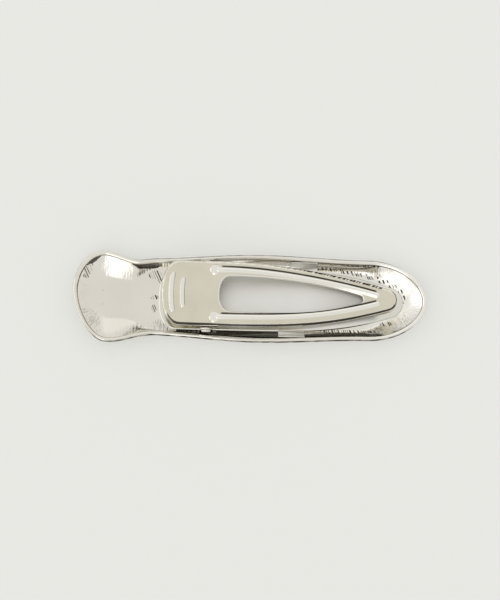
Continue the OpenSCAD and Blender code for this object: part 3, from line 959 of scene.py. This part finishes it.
def lower_jaw_material():
    """Bright plating at the edges and satin on the floor, which is dimmer towards the nose."""
    n = Nodes("bright_lower_jaw_plating")
    clouds = n.noise(place_vector(n), 70.0, 4.0, 0.55)
    cloudy = n.ramp(clouds, 0.35, 0.65)
    grain = n.noise(place_vector(n, (1, 8, 1)), 420.0, 3.0)
    floor = n.attribute("floor")
    bright = n.colours(cloudy, (0.82, 0.805, 0.76), (0.77, 0.755, 0.70))
    satin = n.colours(cloudy, (0.86, 0.852, 0.83), (0.84, 0.832, 0.81))
    tone = n.colours(floor, bright, satin)
    colour = n.colours(n.attribute("shade"), tone, (0.55, 0.54, 0.51))
    rough = n.math("ADD", n.ramp(clouds, 0.3, 0.7, 0.1, 0.16), n.math("MULTIPLY", floor, 0.32))
    return n.metal(colour, rough, n.bump(grain, 0.00001, 0.1))


def pin_material():
    n = Nodes("bright_pin_plating")
    clouds = n.noise(place_vector(n), 900.0, 3.0)
    colour = n.colours(clouds, (0.86, 0.84, 0.79), (0.78, 0.76, 0.70))
    rough = n.ramp(clouds, 0.3, 0.7, 0.08, 0.2)
    return n.metal(colour, rough, n.bump(clouds, 0.00002, 0.15))


def spring_material():
    n = Nodes("drawn_spring_wire")
    lines = n.noise(place_vector(n, (1, 1, 8)), 900.0, 3.0)
    colour = n.colours(lines, (0.60, 0.59, 0.56), (0.48, 0.47, 0.45))
    rough = n.ramp(lines, 0.3, 0.7, 0.22, 0.38)
    return n.metal(colour, rough, n.bump(lines, 0.00002, 0.2))


def floor_material():
    """Matte and pale. It gives off a little light, which keeps the ground even."""
    n = Nodes("matte_pale_floor")
    clouds = n.noise(place_vector(n), 3.0, 2.0)
    n.put(n.shader, "Base Color", n.colours(clouds, (0.505, 0.505, 0.50), (0.495, 0.495, 0.49)))
    n.shader.inputs["Emission Color"].default_value = (0.99, 1.0, 0.955, 1)
    n.shader.inputs["Emission Strength"].default_value = 0.345
    n.shader.inputs["Roughness"].default_value = 0.85
    n.shader.inputs["Specular IOR Level"].default_value = 0.15
    return n.material


# ---------------------------------------------------------------- the object

# Each piece's builder and material, the body it rides on, the CAD node it replaces and its slot
PIECES = (
    (build_shell, shell_material, "clip_base", "shell", "shell_plating"),
    (build_lower_jaw, lower_jaw_material, "clip_base", "lower_jaw", "jaw_plating"),
    (build_lever, lever_material, "lever", "jaw_lever", "jaw_plating"),
    (build_pin, pin_material, "clip_base", "hinge_pin", "pin_plating"),
    (build_spring, spring_material, "clip_base", "torsion_spring", "spring_wire"),
)
for build, material, body, node, slot_name in PIECES:
    piece = build()
    piece.data.materials.append(material())
    if node != "torsion_spring":
        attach(piece, body)
    else:
        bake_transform(piece)
    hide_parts(node)

# ---------------------------------------------------------------- floor, light and camera


def build_floor():
    size = 3.0
    gap = 0.00002
    mesh = bpy.data.meshes.new("pale_floor")
    corners = [(-size, -size, 0), (size, -size, 0), (size, size, 0), (-size, size, 0)]
    mesh.from_pydata(corners, [], [(0, 1, 2, 3)])
    floor = bpy.data.objects.new("pale_floor", mesh)
    floor.location.z = -gap
    bpy.context.scene.collection.objects.link(floor)
    mesh.materials.append(floor_material())


# The surroundings' light: the dome's level, the lowest level there is, and the elevations in degrees
# between which the dark horizon turns into the dome
DOME = 0.84
DARKEST = 0.025
HORIZON_LOW, HORIZON_HIGH = 0.0, 10.0
# Brighter panels: direction they lie in (degrees from +X towards +Y), half width, lowest and highest
# elevation, added strength
PANELS = (
    (90, 42, 22, 56, 0.14),
    (-112, 17, 22, 68, 0.8),
    (180, 26, 8, 40, 0.55),
)


def build_world():
    """Soft studio surroundings: a pale dome over a dark horizon, with brighter panels round the clip."""
    world = bpy.data.worlds.new("studio")
    world.use_nodes = True
    bpy.context.scene.world = world
    tree = world.node_tree
    tree.nodes.clear()

    def wire(node, socket, value):
        if isinstance(value, bpy.types.NodeSocket):
            tree.links.new(value, node.inputs[socket])
        else:
            node.inputs[socket].default_value = value

    def calc(operation, a, b=0.0):
        node = tree.nodes.new("ShaderNodeMath")
        node.operation = operation
        wire(node, 0, a)
        wire(node, 1, b)
        return node.outputs[0]

    def step(value, low, high):
        node = tree.nodes.new("ShaderNodeMapRange")
        node.interpolation_type = "SMOOTHSTEP"
        wire(node, "Value", value)
        wire(node, "From Min", low)
        wire(node, "From Max", high)
        return node.outputs["Result"]

    coordinates = tree.nodes.new("ShaderNodeTexCoord")
    split = tree.nodes.new("ShaderNodeSeparateXYZ")
    tree.links.new(coordinates.outputs["Generated"], split.inputs[0])
    x, y, z = split.outputs
    elevation = calc("DEGREES", calc("ARCSINE", z))
    azimuth = calc("DEGREES", calc("ARCTAN2", y, x))

    def panel(towards, half_width, low, high, soft=4.0):
        turned = calc("WRAP", calc("SUBTRACT", azimuth, towards), 180.0)
        turned.node.inputs[2].default_value = -180.0
        side = calc("ABSOLUTE", turned)
        inside = step(side, half_width + soft, half_width - soft)
        above = step(elevation, low - soft, low + soft)
        below = step(elevation, high + soft, high - soft)
        return calc("MULTIPLY", inside, calc("MULTIPLY", above, below))

    level = calc("MULTIPLY", step(elevation, HORIZON_LOW, HORIZON_HIGH), DOME)
    for towards, half_width, low, high, strength in PANELS:
        level = calc("ADD", level, calc("MULTIPLY", panel(towards, half_width, low, high), strength))
    level = calc("MAXIMUM", level, DARKEST)
    back = tree.nodes.new("ShaderNodeBackground")
    back.inputs["Color"].default_value = (1, 0.99, 0.955, 1)
    tree.links.new(level, back.inputs["Strength"])
    out = tree.nodes.new("ShaderNodeOutputWorld")
    tree.links.new(back.outputs[0], out.inputs[0])


def build_camera():
    """A long lens, tilted off straight above, that sees "picture_height" metres of the clip's plane."""
    picture_height = 0.1866
    tilt = math.radians(11)
    roll = math.radians(1.1)
    data = bpy.data.cameras.new("camera")
    data.sensor_width = 36
    data.lens = 100
    camera = bpy.data.objects.new("camera", data)
    distance = picture_height * data.lens / data.sensor_width
    aim = Vector((0.0, -0.0003, 0.003))
    back = Vector((0, -math.sin(tilt), math.cos(tilt)))
    camera.location = aim + back * distance
    camera.rotation_mode = "QUATERNION"
    camera.rotation_quaternion = (-back).to_track_quat("-Z", "Y") @ Quaternion((0, 0, 1), roll)
    data.clip_start = 0.01
    data.clip_end = 10
    bpy.context.scene.collection.objects.link(camera)
    bpy.context.scene.camera = camera


build_floor()
build_world()
build_camera()
bpy.context.scene.view_settings.view_transform = "Standard"
